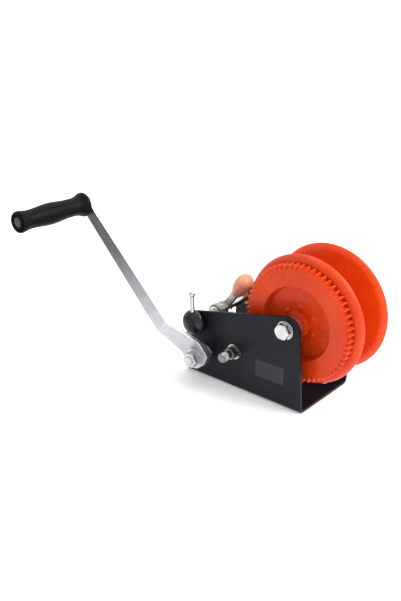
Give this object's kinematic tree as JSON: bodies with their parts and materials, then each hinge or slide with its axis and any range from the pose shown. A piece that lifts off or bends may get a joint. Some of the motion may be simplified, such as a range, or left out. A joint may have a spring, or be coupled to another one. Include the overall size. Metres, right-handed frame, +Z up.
{
  "type": "boat trailer winch",
  "caption": "Two-speed hand winch with a bent sheet frame, a flanged strap drum driven through reduction gears, a cranked handle with a turning grip, and a two-way pawl.",
  "frame": {"origin": "centre of the underside of the base, midway between the four mounting slots", "axes": "+X towards the drum end, +Y from the crank side to the far side plate, +Z up; every shaft lies along Y"},
  "size_m": [0.3786, 0.3067, 0.2477],
  "materials": {
    "frame_paint": "satin black powder coat",
    "label": "matt dark grey, blank",
    "drum_paint": "semi-gloss orange paint",
    "zinc": "bright zinc plate",
    "crank_zinc": "bright zinc plate, rolled bar",
    "gear_steel": "zinc plated, lightly greased",
    "bronze": "sintered bronze",
    "spring_steel": "drawn wire",
    "grip_plastic": "moulded black plastic",
    "cap_plastic": "moulded grey plastic",
    "knob_plastic": "polished black plastic",
    "thumb_vinyl": "orange dipped vinyl"
  },
  "bodies": {
    "frame": {"frame": "frame_paint", "label_plate": "label", "axle_bolt": "zinc", "axle_sleeve": "zinc", "axle_washers": "zinc", "axle_nut": "zinc", "spacer_near": "zinc", "spacer_far": "zinc", "pinion_bushes": "bronze", "crank_bushes": "bronze", "pawl_bushes": "bronze"},
    "drum": {"drum_barrel": "drum_paint", "flange_near": "drum_paint", "flange_far": "drum_paint", "drum_gear": "drum_paint", "gear_rivets": "drum_paint", "drum_bush_near": "bronze", "drum_bush_far": "bronze", "strap_anchor_bolt": "zinc", "strap_anchor_sleeve": "zinc", "strap_anchor_nut": "zinc"},
    "pinion_unit": {"pinion_shaft": "gear_steel", "main_pinion": "gear_steel", "intermediate_gear": "gear_steel", "pinion_circlips": "spring_steel", "shaft_keys": "gear_steel"},
    "crank": {"crank_shaft": "zinc", "crank_pinion": "gear_steel", "crank_key": "gear_steel", "ratchet_wheel": "gear_steel", "ratchet_pin": "spring_steel", "crank_circlips": "spring_steel", "crank_arm": "crank_zinc", "crank_washer": "zinc", "crank_nut": "zinc", "grip_spindle": "zinc", "grip_washer": "zinc"},
    "grip": {"grip_body": "grip_plastic", "grip_cap": "cap_plastic"},
    "pawl_unit": {"pawl_rod": "zinc", "pawl": "zinc", "pawl_roll_pin": "spring_steel", "pawl_thumb_grip": "thumb_vinyl", "pawl_spring": "spring_steel", "pawl_knob": "knob_plastic", "pawl_lever_pin": "zinc", "pawl_circlip": "spring_steel"}
  },
  "joints": [
    {"name": "crank_spin", "type": "hinge", "parent": "frame", "child": "crank", "pos_m": [-0.05851, 0, 0.03887], "axis": [0, 1, 0], "continuous": true},
    {"name": "pinion_spin", "type": "hinge", "parent": "frame", "child": "pinion_unit", "pos_m": [-0.01104, 0, 0.05457], "axis": [0, 1, 0], "continuous": true},
    {"name": "drum_spin", "type": "hinge", "parent": "frame", "child": "drum", "pos_m": [0.068, 0, 0.1095], "axis": [0, 1, 0], "continuous": true},
    {"name": "grip_spin", "type": "hinge", "parent": "crank", "child": "grip", "pos_m": [-0.20934, -0.18, 0.23193], "axis": [0, 1, 0], "continuous": true},
    {"name": "pawl_flip", "type": "hinge", "parent": "frame", "child": "pawl_unit", "pos_m": [-0.0755, 0, 0.0795], "axis": [0, 1, 0], "range_deg": [-10, 10]}
  ],
  "couplings": [
    {"joint": "pinion_spin", "follows": "crank_spin", "ratio": -0.42857},
    {"joint": "drum_spin", "follows": "crank_spin", "ratio": 0.12143}
  ]
}
